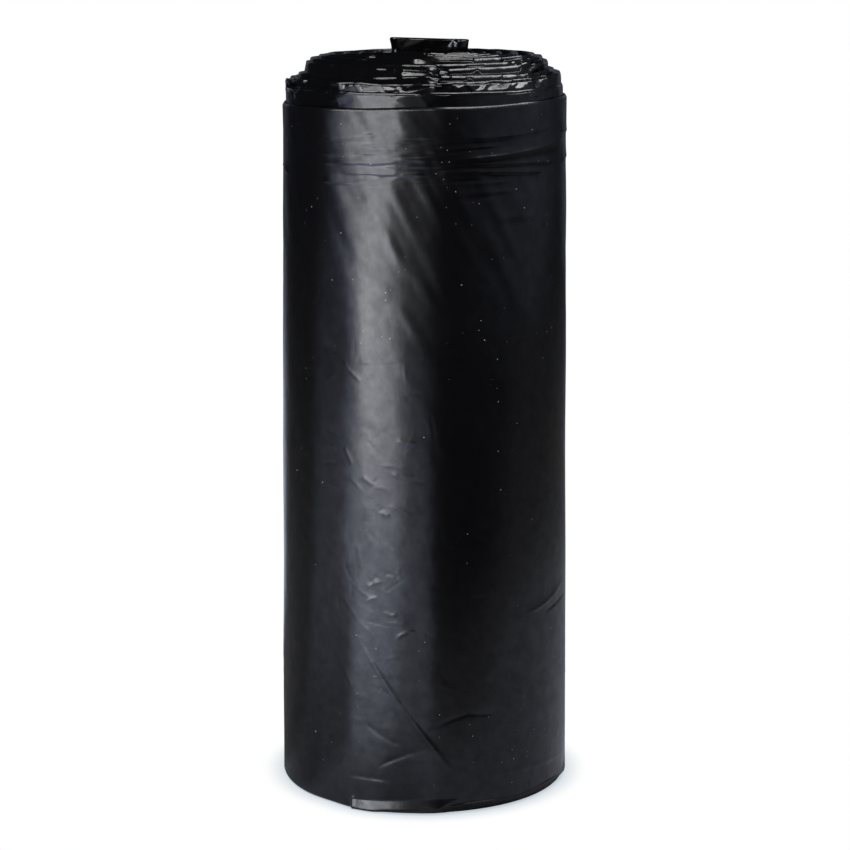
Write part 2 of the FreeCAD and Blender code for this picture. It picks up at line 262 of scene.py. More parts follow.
def makeHazeGroup():
    # where the film is a little duller or glossier
    tree, entry, leave = newGroup(
        "filmHaze",
        [
            ("Vector", "NodeSocketVector", None),
            ("Scale", "NodeSocketFloat", 40.0),
            ("Low", "NodeSocketFloat", 0.25),
            ("High", "NodeSocketFloat", 0.35),
            ("Fine Scale", "NodeSocketFloat", 420.0),
            ("Gloss Spread", "NodeSocketFloat", 0.1),
        ],
        [("Roughness", "NodeSocketFloat"), ("Gloss", "NodeSocketFloat")],
    )
    link = tree.links.new
    cloud = addNode(tree, "TexNoise", {"Detail": 4.0})
    link(entry.outputs["Vector"], cloud.inputs["Vector"])
    link(entry.outputs["Scale"], cloud.inputs["Scale"])
    spread = addNode(tree, "MapRange", {"From Min": 0.3, "From Max": 0.7})
    link(cloud.outputs[0], spread.inputs["Value"])
    link(entry.outputs["Low"], spread.inputs["To Min"])
    link(entry.outputs["High"], spread.inputs["To Max"])
    link(spread.outputs["Result"], leave.inputs["Roughness"])
    speckle = addNode(tree, "TexNoise", {"Detail": 5.0, "Roughness": 0.65})
    link(entry.outputs["Vector"], speckle.inputs["Vector"])
    link(entry.outputs["Fine Scale"], speckle.inputs["Scale"])
    above = mathNode(tree, "SUBTRACT", speckle.outputs[0], 0.5)
    swing = mathNode(tree, "MULTIPLY", above, entry.outputs["Gloss Spread"])
    link(mathNode(tree, "ADD", swing, 0.5), leave.inputs["Gloss"])
    return tree


rippleGroup = makeRippleGroup()
dustGroup = makeDustGroup()
hazeGroup = makeHazeGroup()


def useGroup(tree, group, vector, values):
    node = addNode(tree, "Group", values, node_tree=group)
    tree.links.new(vector, node.inputs["Vector"])
    return node


def filmMaterial(name, look):
    material = bpy.data.materials.new(name)
    material.use_nodes = True
    tree = material.node_tree
    link = tree.links.new
    shader = tree.nodes["Principled BSDF"]
    shader.inputs["IOR"].default_value = look["ior"]
    place = addNode(tree, "TexCoord").outputs["Object"]
    haze = useGroup(tree, hazeGroup, place, look["haze"])
    link(haze.outputs["Roughness"], shader.inputs["Roughness"])
    link(haze.outputs["Gloss"], shader.inputs["Coat Weight"])
    shader.inputs["Specular IOR Level"].default_value = look["baseGloss"]
    shader.inputs["Coat Roughness"].default_value = look["coatRoughness"]
    dust = useGroup(tree, dustGroup, place, look["dust"])
    paints = {"A": (*look["colour"], 1.0), "B": (*look["dustColour"], 1.0)}
    paint = addNode(tree, "Mix", paints, data_type="RGBA")
    link(dust.outputs["Mask"], paint.inputs["Factor"])
    link(paint.outputs["Result"], shader.inputs["Base Color"])
    ripple = useGroup(tree, rippleGroup, place, look["ripple"])
    depth = {"Strength": look["bumpStrength"], "Distance": look["bumpDepth"] * millimetre}
    bump = addNode(tree, "Bump", depth)
    link(ripple.outputs["Height"], bump.inputs["Height"])
    link(bump.outputs["Normal"], shader.inputs["Normal"])
    return material


wrapFilm = filmMaterial(
    "wrapFilm",
    {
        "colour": (0.0018, 0.0017, 0.0022),
        "dustColour": (0.30, 0.29, 0.25),
        "ior": 1.5,
        "haze": {"Scale": 45.0, "Low": 0.19, "High": 0.25, "Fine Scale": 260.0, "Gloss Spread": 1.1},
        "baseGloss": 0.25,
        "coatRoughness": 0.22,
        "dust": {"Scale": 480.0, "Amount": 0.75, "Size": 0.08},
        "ripple": {"Dents": 240.0, "Grain": 1500.0, "Grain Share": 0.20},
        "bumpStrength": 0.9,
        "bumpDepth": 0.12,
    },
)
turnFilm = filmMaterial(
    "turnFilm",
    {
        "colour": (0.0018, 0.0018, 0.0020),
        "dustColour": (0.5, 0.48, 0.42),
        "ior": 1.5,
        "haze": {"Scale": 90.0, "Low": 0.10, "High": 0.18, "Fine Scale": 400.0, "Gloss Spread": 1.0},
        "baseGloss": 0.25,
        "coatRoughness": 0.14,
        "dust": {"Scale": 420.0, "Amount": 0.06, "Size": 0.08},
        "ripple": {"Dents": 260.0, "Grain": 1200.0, "Grain Share": 0.12},
        "bumpStrength": 0.5,
        "bumpDepth": 0.10,
    },
)
print("films ready")


# The outer wrap: the last turns of the web, from the foot to the rim
wrap = {
    # mesh columns by angle and rows by height: where each spacing starts, and the spacing
    "columns": [(-152, 4), (-88, 2.4), (-44, 0.6), (24, 1.2), (60, 2.4), (88, 4)],
    "rows": [(0.8, 0.3), (2, 0.16), (3.6, 0.5), (49, 0.4), (76, 0.8), (90, 0.45), (116, 0.9),
             (128, 0.5), (139, 1), (180, 0.5), (188, 0.28), (204, 0.45)],
    "lastRow": 209.8,
    "edgeAngle": -152,  # the web's free edge, at the back left
    "edgeSweep": 70,  # the last turn lifts over this angle
    "edgeProud": 0.6,
    "layers": (0.62, 0.3),  # folded film at the rim
    "wall": 0.92,
    "rimWave": 0.22,
    "footRise": 0.25,  # the lower edge stands this far above the floor
    "footRiseRight": 0.75,  # and this much more on the right
    "footStrip": {  # a flared strip above the foot: its lower and upper edge by angle
        "slope": 0.25,
        "endTick": 0.32,  # the film stands out at the strip's left end
        "low": [(-29.5, 0.2), (-10, 1.4), (4.3, 2), (14, 4.9)],
        "high": [(-29.5, 3.2), (-10, 4.3), (4.3, 5), (14, 5)],
    },
    "footTuck": {  # below this edge the film is drawn in
        "edge": [(-24, 0), (-10, 1.2), (4, 1.7), (16, 2.5), (40, 2.2), (60, 2.6),
                 (74, 1.9), (88, 0)],
        "step": 0.35,
        "slope": 0.35,
        "ridge": [(8, 0), (16, 0.34), (34, 0.34), (48, 0.2), (70, 0.34), (84, 0)],
        "ridgeHalf": 0.30,  # the ridge lies this far above the edge and is this wide
    },
    "bends": [  # angle, half width, slope by height: the film turns a little left or right
        (-33, 6, [(0, 0.13), (19, 0.15), (50, 0.12), (77, -0.01), (95, 0.01), (118, 0.02), (141, 0.085),
                      (174, 0), (190, -0.05), (205, -0.06)]),
        (0, 5, [(0, 0), (125, 0), (141, -0.03), (160, 0.02), (186, 0.06), (196, -0.05), (205, 0)]),
    ],
    "lumps": [(0.10, 30, 34, 31), (0.035, 12, 15, 32)],  # how far out, degrees, height, seed
    "streaks": 0.085,  # leaning waves below the rim
    "streakWide": 6,
    "streakLong": 26,
    "streakLean": 0.54,
    "streakFade": (30, 80),  # they weaken between these depths below the rim
    "streakZone": (-5, 12, 128, 214, 1.9),  # more of them: angle, half width, heights, gain
    "levelRipple": 0.035,  # soft level waves low on the roll
    "pleats": 0.022,
    "groove": (0.10, 1.5, 0.45),  # below the rim: how far in, drop, half width
    "foldGain": 1.5,
    "fineFolds": 70,  # thin level creases below the rim
    "smallFolds": 110,  # short ones further down
    "bulges": [  # angle, height, half width, half height, how far out
        (-47, 208, 9, 26, 0.32),
        (-8, 215, 8, 16, 0.18),
        (-2, 80, 9, 60, 0.16),
    ],
    "folds": [
        crease(-38, 201.8, -2, 202.2, 0.10, 1.2, flip=True),
        crease(-33, 198.2, -6, 196.6, -0.10, 1),
        crease(-40, 194.9, 10, 196.7, 0.16, 2.2),
        crease(-38, 192.4, 0, 192.6, 0.14, 2),
        crease(-37, 188.6, -19, 190.8, 0.10, 0.9),
        crease(-18, 191, -8, 192.5, -0.12, 0.8),
        crease(12, 203, 64, 204.4, 0.15, 2.6, steep=0.8, bow=-0.8, flip=True),
        crease(8, 196.6, 78, 200.8, 0.46, 2.4, bow=-0.7, flip=True, steep=1.15),
        crease(16, 194.6, 66, 193.9, 0.13, 2.2, steep=0.5, bow=0.4),
        crease(20, 192.8, 54, 191.6, 0.15, 2.6),
        crease(28, 179.2, 50, 179, 0.06, 2),
        crease(-34, 136.9, -25, 131.6, 0.11, 0.5),
        crease(-29, 137.2, -8, 138.3, 0.03, 0.8),
        crease(-33, 111.8, -29, 106.2, 0.09, 0.6),
        crease(-11, 114.6, -3, 113.8, 0.12, 0.7, steep=0.35),
        crease(-13, 104.9, -4, 104, 0.11, 0.7, steep=0.35, bow=-0.4),
        crease(-25, 103.2, -20, 101, 0.09, 0.6),
        crease(-17.5, 92.9, -13.5, 92, 0.11, 0.5),
        crease(-23, 69.4, -16.5, 71.8, 0.13, 0.6, bow=0.5),
        crease(-23.5, 65, -18, 66.8, 0.11, 0.6, bow=0.5),
        crease(-15.6, 74.4, -9.8, 73, -0.10, 0.6, bow=0.6),
        crease(-16, 62.8, -10.4, 62, 0.11, 0.6, bow=-0.6),
        crease(-11, 54.6, -2.8, 57, 0.15, 0.7, bow=0.8, steep=0.4),
        crease(-35, 66.8, -20, 53.6, 0.05, 1.2),
        crease(-39, 50.4, -28, 37.2, 0.05, 1.2),
        crease(-28, 56, 14, 11, 0.15, 0.8, bow=-0.8, flip=True),
        crease(-20, 45, 16, 8, 0.10, 0.8, bow=-0.6),
        crease(-24, 28.4, -9, 21.3, -0.12, 0.9, bow=-0.7),
        crease(-19, 14, 3, 20.8, -0.13, 1.1, bow=0.8),
        crease(-32, 10.4, -13, 10, -0.13, 1.2, bow=0.5),
        crease(44, 59, 76, 64.6, 0.14, 1.6, bow=-1),
        crease(56, 57.6, 80, 60, -0.12, 1.4),
        crease(1, 26, 20, 31.2, -0.12, 1.4, bow=0.7),
        crease(17, 30.8, 27, 29.8, -0.11, 0.9),
        crease(15, 10.6, 84, 7.6, 0.13, 2.6, bow=0.9),
        crease(-84, 192.6, -70, 189.6, 0.22, 2.4),
        crease(68, 202.4, 92, 201, 0.20, 2.6),
        crease(70, 193.6, 94, 194.6, 0.16, 2.4),
        crease(110, 196, 158, 199, 0.18, 2),
        crease(128, 190.2, 182, 188.4, 0.15, 2.4),
        crease(150, 120, 176, 104, 0.10, 1.2),
        crease(118, 60, 150, 30, 0.11, 1.4),
        crease(-140, 198.6, -104, 196.4, 0.16, 2),
        crease(-132, 60, -112, 44, 0.10, 1.2),
    ],
}


def wrapRadius(height):
    bandFoot = roll["rimHeight"] - roll["bandHeight"]
    share = np.clip(height / bandFoot, 0.0, 1.0)
    return roll["footRadius"] + (roll["rimRadius"] - roll["footRadius"]) * share


def lastTurnLift(angle):
    # the web stands a little off the roll before its free edge
    start = wrap["edgeAngle"] + wrap["edgeSweep"]
    return wrap["edgeProud"] * np.clip((start - angle) / wrap["edgeSweep"], 0.0, 1.0) ** 1.4  # an easy curve


def rimHeightAt(angle):
    x = roll["rimRadius"] * np.sin(np.radians(angle))
    wave = smoothNoise(angle / 24.0, angle * 0, 21, around=15)
    return roll["rimHeight"] + x * math.tan(math.radians(roll["rimLean"])) + wrap["rimWave"] * wave


def streaksAt(angle, across, height, depth):
    slanted = (across - wrap["streakLean"] * depth) / wrap["streakWide"]
    streak = smoothNoise(slanted, depth / wrap["streakLong"], 33)
    finer = smoothNoise(slanted * 1.9, depth / (wrap["streakLong"] / 2), 34)
    topShare = 1 - 0.7 * ease(depth, *wrap["streakFade"])
    middle, wide, low, high, gain = wrap["streakZone"]
    inZone = np.exp(-(((angle - middle) / wide) ** 2))
    inZone = inZone * ease(height, low, low + 20) * (1 - ease(height, high - 12, high))
    return wrap["streaks"] * (streak + (0.7 + gain * inZone) * finer) * topShare


def footAt(angle, height):
    # the flared strip with the tick at its left end, and the tucked edge with its ridge
    strip = wrap["footStrip"]
    stripLow, stripHigh = tableAt(strip["low"], angle), tableAt(strip["high"], angle)
    stripFrom = strip["low"][0][0]
    uneven = 1 + 0.25 * smoothNoise(angle / 5.0, height / 2.0, 36)
    onStrip = ease(angle, stripFrom, stripFrom + 0.8) * uneven
    out = strip["slope"] * onStrip * np.clip(stripHigh - height, 0.0, stripHigh - stripLow)
    tick = np.exp(-(((angle - stripFrom - 0.6) / 0.8) ** 2)) * (1 - ease(height, 3.6, 4.4))
    out = out + strip["endTick"] * tick
    tuck = wrap["footTuck"]
    edgeAt = tableAt(tuck["edge"], angle)
    edgeAt = edgeAt + 0.25 * smoothNoise(angle / 9.0, angle * 0, 38) * ease(edgeAt, 0.5, 1.5)
    tucked = ease(edgeAt, 0.0, 0.8)
    out = out - tucked * tuck["step"] * ease(edgeAt - height, -0.1, 0.4)
    out = out - tucked * tuck["slope"] * np.clip(edgeAt - height, 0.0, 3.0)
    half = tuck["ridgeHalf"]
    return out + tableAt(tuck["ridge"], angle) * np.exp(-(((height - edgeAt - half) / half) ** 2))


def wrapField(angle, height):
    # how far the film stands out from the plain wrap
    across = np.radians(angle) * roll["footRadius"]
    depth = roll["rimHeight"] - height
    out = streaksAt(angle, across, height, depth) + footAt(angle, height)
    for rise, wide, tall, seed in wrap["lumps"]:
        out = out + rise * smoothNoise(angle / wide, height / tall, seed, around=round(360 / wide))
    for middle, wide, table in wrap["bends"]:
        u = (angle - middle) * math.radians(1) * roll["footRadius"] / wide
        out = out + tableAt(table, height) * wide * u * np.exp(-u * u / 2)
    level = smoothNoise(angle / 14.0, height / 1.9, 37)
    out = out + wrap["levelRipple"] * level * ease(height, 20.0, 28.0) * (1 - ease(height, 40.0, 54.0))
    pleat = facetNoise(across / 3.4 + depth / 9.0, height / 7.0, 35)
    out = out + wrap["pleats"] * pleat * (1 - 0.8 * ease(depth, 2.0, 30.0))
    for angleAt, heightAt, wide, tall, rise in wrap["bulges"]:
        place = ((angle - angleAt) / wide) ** 2 + ((height - heightAt) / tall) ** 2
        out = out + rise * np.exp(-place)
    for line in wrap["folds"]:
        out = out + wrap["foldGain"] * creaseHeight(across, height, line)
    for line in fineFolds:
        out = out + creaseHeight(across, height, line)
    inwards, drop, half = wrap["groove"]
    return out - inwards * np.exp(-(((depth - drop) / half) ** 2))


def makeFineFolds():
    chance = np.random.default_rng(97)
    lines = []
    for number in range(wrap["smallFolds"]):
        start, height = chance.normal(-16, 20), chance.uniform(16, 150)
        turned, length = chance.normal(-0.5, 0.6), chance.uniform(3, 9)
        end = (start + math.cos(turned) * length * 1.3, height + math.sin(turned) * length)
        rise = chance.choice([-1, 1]) * chance.uniform(0.03, 0.075)
        lines.append(crease(start, height, *end, rise, 0.6, bow=chance.uniform(-1, 1)))
    for line in wrap["folds"]:
        (startX, startY), (endX, endY) = line["from"], line["to"]
        reach = math.hypot((endX - startX) * 0.78, endY - startY)
        if reach < 12 and startY < 110:  # a short crease has a smaller one beside it
            share, turned = chance.uniform(0.3, 0.7), chance.uniform(0.5, 1.2) * chance.choice([-1, 1])
            x, y = startX + (endX - startX) * share, startY + (endY - startY) * share
            length = reach * chance.uniform(0.5, 0.9)
            end = (x + math.cos(turned) * length * 1.3, y + math.sin(turned) * length)
            lines.append(crease(x, y, *end, -0.6 * line["rise"], 0.5, bow=chance.uniform(-1.2, 1.2)))
    for number in range(wrap["fineFolds"]):
        onRight = number % 4 == 0
        start, length = chance.uniform(-46, -8) + 22 * onRight, chance.uniform(14, 34) + 14 * onRight
        height, slant = chance.normal(195.5, 4.6), chance.normal(0.8, 1.2)
        rise = chance.choice([-1, 1]) * chance.uniform(0.03, 0.13) * (1 - 0.5 * onRight)
        ends = (start, height, start + length, height + slant)
        lines.append(crease(*ends, rise, chance.uniform(0.5, 1.4), flip=number % 3 == 0))
    return lines


fineFolds = makeFineFolds()


# The outer layer of a lip, in widths of the layer: inset, more inset where it is slanted, how far below
bentLip = ((0.0, 0.0, 1.9), (0.05, 0.11, 1.45), (0.19, 0.16, 1.0), (0.42, 0.15, 0.52),
           (0.60, 0.15, 0.18), (0.74, 0.14, 0.0), (0.9, 0.06, 0.1))
slantLower = 0.6  # a slanted lip is this much lower
roundLip = (8, 28, 48, 68, 90, 125, 165)  # degrees round the top of the other layers


def layeredLip(widths, topOf, slant=0.0):
    # (inset, height) pairs across the top of a bundle of folded layers, each layer with a round top.
    # With slant 1 the outer layer is low and leans in far, with 0 it bends in just below its edge.
    pairs = []
    start = 0.0 * widths[0]
    for layer, width in enumerate(widths):
        top, radius = topOf(layer), width / 2
        if layer == 0:  # the outer layer bends in before its edge
            pairs += [((inset + more * slant) * width, top - below * (1 - slantLower * slant) * width)
                      for inset, more, below in bentLip]
            start = start + width
            pairs.append((start, np.minimum(top, topOf(1)) - 0.4))
            continue
        for degrees in roundLip:
            turned = math.radians(degrees)
            pairs.append((start + radius * (1 - math.cos(turned)), top - radius * (1 - math.sin(turned))))
        start = start + width
        if layer < len(widths) - 1:
            pairs.append((start, np.minimum(top, topOf(layer + 1)) - 0.9 * width))
    return pairs


def gridSteps(zones, last):
    # positions with a step of its own in each zone
    ends = [zone[0] for zone in zones[1:]] + [last]
    return np.concatenate([np.arange(zone[0], end - 0.01, zone[1]) for zone, end in zip(zones, ends)])


def makeWrap():
    angle = gridSteps(wrap["columns"], wrap["edgeAngle"] + 360.0)
    angle = np.append(angle, wrap["edgeAngle"] + 360.0)
    heights = gridSteps(wrap["rows"], wrap["lastRow"])
    rimShift = rimHeightAt(angle) - roll["rimHeight"]
    footEdge = wrap["footRise"] + wrap["footRiseRight"] * ease(np.abs(angle - 75.0), 70.0, 25.0)
    rows = []

    def addRow(radius, height):
        turn = np.radians(angle)
        rows.append(rowOf(radius * np.sin(turn), -radius * np.cos(turn), height))

    lift = lastTurnLift(angle)
    for inset, raised in ((4.0, 1.2), (1.6, 0.7), (0.7, 0.25), (0.25, 0.05), (0.05, 0.4)):  # turned under
        low = footEdge + raised
        addRow(wrapRadius(low) + wrapField(angle, low) + lift - inset, low)
    for height in heights:
        moved = height + rimShift * ease(height, 190.0, 211.0)  # the rows below the rim follow its lean
        addRow(wrapRadius(moved) + wrapField(angle, height) + lift, moved)

    def lipTop(layer):
        if layer == 0:
            return rimShift + roll["rimHeight"]
        wave = facetNoise(angle / 14.0, angle * 0 + 0.5, 40 + layer, around=25)
        return rimShift + roll["rimHeight"] - 0.35 * layer + 0.5 * wave

    under = wrapField(angle, angle * 0 + 211.0)
    for inset, height in layeredLip(wrap["layers"], lipTop):
        addRow(roll["rimRadius"] + under + lift - inset, height)
    for inset, drop in ((1.0, 1.5), (1.05, 6.0), (1.1, 12.0)):  # down the inner side
        inner = roll["rimRadius"] + lift - wrap["wall"] * inset
        addRow(inner, roll["rimHeight"] + rimShift - drop)
    return gridPiece("outerWrap", np.array(rows), wrapFilm)


outerWrap = makeWrap()
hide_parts("bag_roll")


# The turns inside the wrap
innerTurns = {
    # size of each turn across and front to back, and how far its edge stands over the rim
    "across": [(0, 41.8), (0.75, 41.7), (1.25, 40.9), (1.75, 40.8), (2.25, 38.9), (2.75, 38.8),
               (3.25, 36.8), (3.75, 36.9), (4.25, 35.4), (4.75, 35.3), (5.25, 32.6), (5.75, 32.8),
               (6.5, 29), (7.5, 24.4), (8.5, 19.6), (9.2, 16.6), (10, 13.8)],
    "deep": [(0, 41.6), (0.5, 41.5), (1.5, 39.5), (2.5, 37.5), (3.5, 35.6), (4.5, 34.2), (5.5, 31.6),
             (6.5, 27.6), (7.5, 22.2), (8.5, 15.4), (9.5, 8.2), (10, 5)],
    "rise": [(0, 0.6), (0.1, 3.2), (0.25, 6.4), (0.32, 5), (0.5, 4), (0.75, 3.9), (1, 5.4),
             (1.25, 6.7), (1.5, 6.8), (1.75, 7.7), (2.25, 7.8), (2.5, 8.7), (2.75, 8.9), (3.25, 11.2),
             (3.5, 10.7), (3.75, 11.4), (4.25, 12.3), (4.5, 11.8), (4.75, 12.6), (5.25, 13), (5.75, 13.4),
             (7, 13.6), (10, 13.8)],
    "shiftRight": 0.4,
    "sway": 0.22,  # how far the turns wander in and out
    "edgeWave": 0.25,
    "step": 0.56,  # column spacing along the web
    "layers": (0.4, 0.3, 0.3),
    "layerDrop": 0.2,  # each layer ends this much lower
    "layerWave": 0.5,
    "wall": 1.2,
    "depth": 8,  # how far down the faces are modelled
    "crumple": 0.25,
    "edgeCrumple": 0.20,
    "plainLean": [(0, 1), (1, 4), (2, 9), (10, 12)],  # degrees the faces lean back, by turn
    "leftLean": [(0, 0), (1.9, 0), (2.3, 24), (10, 22)],  # and how much more on the left
    "leanSpread": 0.16,  # the lean differs by this share from stretch to stretch
    "segment": 12,  # length of a stretch
    "facets": [  # turn, angles from and to, heights below the edge, degrees of lean
        (1.5, -37, 3.5, 0.5, 3, 17.5),
        (1.5, 13, 22, 0.5, 3, 24),
        (1.5, 22, 50, 0.5, 2.6, 29),
        (1.5, 53, 62, 0.5, 3.6, 26),
        (2.5, 3, 12, 1, 1.7, 24),
        (3.5, -11, 6, 0.9, 2.9, 15),
        (1.5, -62, -44, 0.5, 2.8, 32),
        (5.5, 28, 47, 0.3, 1.8, 30),
    ],
    "broadLips": [  # edges that catch the light: turn, angles from and to, width
        (2.5, 3, 19, 0.75),
        (2.5, 22, 36, 1),
        (2.5, 37, 52, 1.25),
        (3.5, 3.5, 24, 0.8),
        (3.5, 27, 51, 0.95),
        (4.5, 6, 21, 0.7),
        (4.5, 31, 50, 0.8),
        (2.5, -24, -13, 0.45),
        (2.5, -10, -3, 0.4),
        (3.5, -24, -19, 0.35),
        (3.5, -11, 5, 0.4),
        (4.5, -12, -2, 0.4),
        (5.5, -41, -34, 0.35),
        (6.5, -50, -33, 0.35),
        (5.5, 28, 47, 0.9),
    ],
    "zones": [  # more or less crumpled: angle, spread, first turn, last turn, gain
        (62, 12, 2, 6.4, 1.8),
        (-72, 9, 0.1, 0.6, 2.6),
        (5, 55, 1.2, 1.8, 1),
        (28, 26, 2, 5, -0.55),
        (-30, 32, 2, 10, -0.8),
        (-92, 34, 1, 12, -0.75),
        (94, 24, 0.6, 12, -0.6),
    ],
    "folds": [  # on the outermost of these turns, where no turn is given
        crease(-80, 218, -57, 210.8, 0.40, 2, steep=0.4, flip=True),
        crease(-78, 215.6, -64, 212.2, -0.16, 0.9),
        crease(-86, 213.8, -70, 214.6, 0.12, 0.8),
        crease(-23, 215.6, -16, 211.4, 0.06, 0.8),
        crease(-14, 214.6, -5, 210.6, 0.06, 0.9),
        crease(-3.5, 215.8, 2, 210.8, 0.13, 2, steep=0.35),
        crease(-40, 215.4, -36, 211, 0.12, 1.4),
        crease(-31, 213.2, -20, 213.6, 0.05, 0.8),
        crease(20, 213.6, 60, 213.9, 0.07, 1.2),
        crease(17, 218.6, 21.5, 215.4, 0.35, 1.2, turn=1.5),
        crease(24, 215.2, 29, 218.8, 0.35, 1.4, turn=1.5),
        crease(35, 215.4, 41, 218.9, 0.35, 1.2, turn=1.5),
        crease(-20, 218.4, -17, 215.2, 0.30, 0.9, turn=1.5),
        crease(-12, 218.4, -8, 215.2, 0.30, 1, turn=1.5),
        crease(-31, 218, -27, 215.2, 0.25, 0.7, turn=1.5),
    ],
}


def windingAt(turn):
    # place and outward direction on the web, for a number of turns counted from the outside
    angle = np.radians(-180.0 + 360.0 * turn)
    across = tableAt(innerTurns["across"], turn)
    deep = tableAt(innerTurns["deep"], turn)
    shift = innerTurns["shiftRight"] * ease(turn, 0.3, 2.0)
    outX, outY = deep * np.sin(angle), -across * np.cos(angle)
    length = np.hypot(outX, outY)
    return shift + across * np.sin(angle), -deep * np.cos(angle), outX / length, outY / length


def onTurn(turn, number):
    # 1 on the turn that passes the front at this number, 0 elsewhere
    return (np.abs(turn - number) < 0.5).astype(float)


def within(value, start, end, soft):
    return ease(value, start - soft, start + soft) * (1 - ease(value, end - soft, end + soft))


def stepNoise(u, v, seed):
    # stretches of film that each keep one value, with a quick change between them
    whole = np.floor(u)
    part = np.clip((u - whole - 0.5) * 12 + 0.5, 0.0, 1.0)
    return smoothNoise(whole + part, v, seed)


def alongWeb(firstTurn, lastTurn, step):
    # even steps along the web: the way run, and the number of turns there
    coarse = np.linspace(firstTurn, lastTurn, 4000)
    x, y, _, _ = windingAt(coarse)
    travel = np.concatenate([[0.0], np.cumsum(np.hypot(np.diff(x), np.diff(y)))])
    run = np.linspace(0.0, travel[-1], int(travel[-1] / step))
    return run, np.interp(run, travel, coarse)


def makeTurns(name, firstTurn, lastTurn, settings):
    s, turn = alongWeb(firstTurn, lastTurn, settings["step"])
    s = s + 400.0 * firstTurn  # so that no two pieces have the same crumples
    x, y, outX, outY = windingAt(turn)
    angle = np.degrees(np.arctan2(x, -y))
    gain = np.ones_like(turn)
    for centre, spread, begin, end, more in settings["zones"]:
        inZone = np.exp(-(((angle - centre) / spread) ** 2))
        gain += more * inZone * ease(turn, begin - 0.3, begin) * (1 - ease(turn, end, end + 0.3))
    sway = settings["sway"] * smoothNoise(angle / 30.0, turn * 0.7, 51, around=12) * ease(turn, 0.2, 1.2)
    rim = roll["rimHeight"] + tableAt(settings["rise"], turn)
    # the outer edges rise to the right
    rim = rim + np.radians(roll["rimLean"]) * 0.5 * x * ease(turn, 3.0, 0.5)
    rim = rim + settings["edgeWave"] * smoothNoise(angle / 36.0, turn * 0.9, 52, around=10)
    rim = rim + settings["edgeCrumple"] * gain * facetNoise(s / 7.0, turn, 53)
    facing = 0.3 + 0.7 * (1 - ease(np.abs(angle), 50.0, 80.0))  # the faces lean less at the sides
    uneven = 1 + settings["leanSpread"] * stepNoise(s / settings["segment"], turn, 54)
    wall, deepest = settings["wall"], settings["depth"]
    plainWidth = settings["layers"][0]
    lipWidth, litLip = plainWidth + 0 * turn, 0 * turn
    for number, start, end, width in settings["broadLips"]:
        here = onTurn(turn, number) * within(angle, start, end, 0.7)
        lipWidth = lipWidth + (width - plainWidth) * here
        litLip = np.maximum(litLip, here)
    awayFromBack = ease(angle, -176.0, -120.0)
    # 1 on the left, where the edges are low and dark
    calm = awayFromBack * (1 - ease(angle, -6.0, 6.0)) * ease(turn, 1.9, 2.3) * (1 - litLip)
    rows = []

    def leanAt(drop):
        middle = 8 * np.sin(5.1 * np.round(turn + 0.5))  # each turn has its left part end elsewhere
        onLeft = awayFromBack * (1 - ease(angle, middle - 4.0, middle + 4.0))
        lean = tableAt(settings["plainLean"], turn) + tableAt(settings["leftLean"], turn) * onLeft
        lean = lean * (1 - ease(drop, 3.4, 4.6))  # upright lower down
        for number, start, end, top, foot, more in settings["facets"]:
            inside = onTurn(turn, number) * within(angle, start, end, 0.8)
            lean = lean + (more - lean) * inside * float(within(drop, top, foot, 0.2))
        return np.tan(np.radians(lean * facing * uneven))

    def addRow(offset, height, drop):
        near = 1 - ease(drop, 0.0, 5.5)
        fold = facetNoise(s / 6.0 + drop / 3.6, drop / 3.2 + turn * 3, 55)
        finer = facetNoise(s / 2.6 - drop / 2.4, drop / 1.8 + turn * 5, 56)
        crumpled = settings["crumple"] * gain * near * (fold + 0.32 * finer)
        for line in settings["folds"]:
            ridge = creaseHeight(np.radians(angle) * roll["footRadius"], height, line)
            crumpled = crumpled + onTurn(turn, line.get("turn", 0.5)) * ridge
        shift = sway + offset + crumpled
        rows.append(rowOf(x + outX * shift, y + outY * shift, height))

    drops = np.concatenate([[deepest, 6.8], np.arange(5.8, 3.0, -0.5), np.arange(3.0, 0.3, -0.25)])
    edgeRoom = 1.95 * lipWidth * (1 - slantLower * calm)
    leaned = 0.0 * turn
    last = deepest
    for drop in drops:
        leaned = leaned + leanAt((drop + last) / 2) * (last - drop)
        last = drop
        below = np.maximum(drop, edgeRoom + 0.004 * drop)  # rows stay below the rounded edge
        addRow(-leaned, rim - below, drop)

    def lipTop(layer):
        wave = facetNoise(s / (9.0 + 3 * layer), turn * 2, 60 + layer)
        wave = settings["layerWave"] * (layer > 0) * wave * (1 - 0.9 * calm)
        return rim - settings["layerDrop"] * layer + wave

    # a dark edge has no upright part below it
    leaned = leaned + calm * leanAt(0.4) * np.maximum(last - edgeRoom, 0.0)
    for inset, height in layeredLip((lipWidth, *settings["layers"][1:]), lipTop, calm):
        addRow(-leaned - inset, height, 0.0)
    for drop in (1.5, 4.0, deepest):  # down the inner side
        addRow(-leaned * min(1.0, 1.5 / drop) - wall, rim - drop, drop)
    gridPiece(name, np.array(rows), turnFilm, closeColumns=False)


makeTurns("outerTurns", 0.0, 4.0, innerTurns)
makeTurns("middleTurns", 4.0, 10.0, innerTurns)


# What shows in the gaps between the turns
core = {
    "below": 6.0,  # this far below the turns' edges
    "foot": 11.0,  # its underside, below the rim
    "radius": 41.4,
    "middle": 0.4,  # radius of the small hole in the middle
    "steps": 26,
}


def roundRows(profile):
    # rings of the radii and heights that a profile gives
    angle = np.radians(np.arange(0.0, 360.0, 4.0))
    return np.array([rowOf(r * np.sin(angle), -r * np.cos(angle), angle * 0 + h) for r, h in profile])


